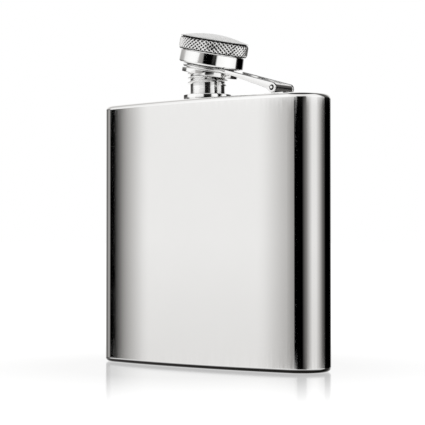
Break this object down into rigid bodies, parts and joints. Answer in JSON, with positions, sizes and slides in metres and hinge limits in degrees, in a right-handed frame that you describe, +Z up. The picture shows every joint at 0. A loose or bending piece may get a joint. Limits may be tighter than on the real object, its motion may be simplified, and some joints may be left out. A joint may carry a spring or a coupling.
{
  "type": "hip flask",
  "caption": "Curved steel hip flask with a threaded spout and a knurled domed screw cap held captive on a hinged arm.",
  "frame": {"origin": "centre of the base plane on the axis of the spout", "axes": "+Z up along the spout, +X from the spout to the hinge pin, the bowed front face looks along -Y"},
  "size_m": [0.096, 0.0251, 0.116],
  "materials": {
    "polished_steel": "mirror-polished stainless steel sheet",
    "turned_steel": "polished turned and pressed stainless steel",
    "cap_steel": "polished stainless steel with a knurled band and a satin dome",
    "seal_silicone": "matt translucent silicone"
  },
  "bodies": {
    "flask": {"body_sleeve": "polished_steel", "top_plate": "polished_steel", "bottom_plate": "polished_steel", "spout": "turned_steel", "spout_collar": "turned_steel", "hinge_bracket": "turned_steel", "hinge_pin": "turned_steel"},
    "arm": {"cap_arm": "turned_steel"},
    "cap": {"cap_cover": "cap_steel", "cap_skirt": "cap_steel", "cap_sleeve": "turned_steel", "cap_keeper": "turned_steel", "cap_seal": "seal_silicone", "cap_seal_plate": "turned_steel"}
  },
  "joints": [
    {"name": "arm_hinge", "type": "hinge", "parent": "flask", "child": "arm", "pos_m": [0.032, 0, 0.0947], "axis": [0, 1, 0], "range_deg": [-12, 165]},
    {"name": "cap_spin", "type": "hinge", "parent": "arm", "child": "cap", "pos_m": [0.00106, 0, 0.10306], "axis": [0.2079, 0, 0.9781], "continuous": true}
  ]
}
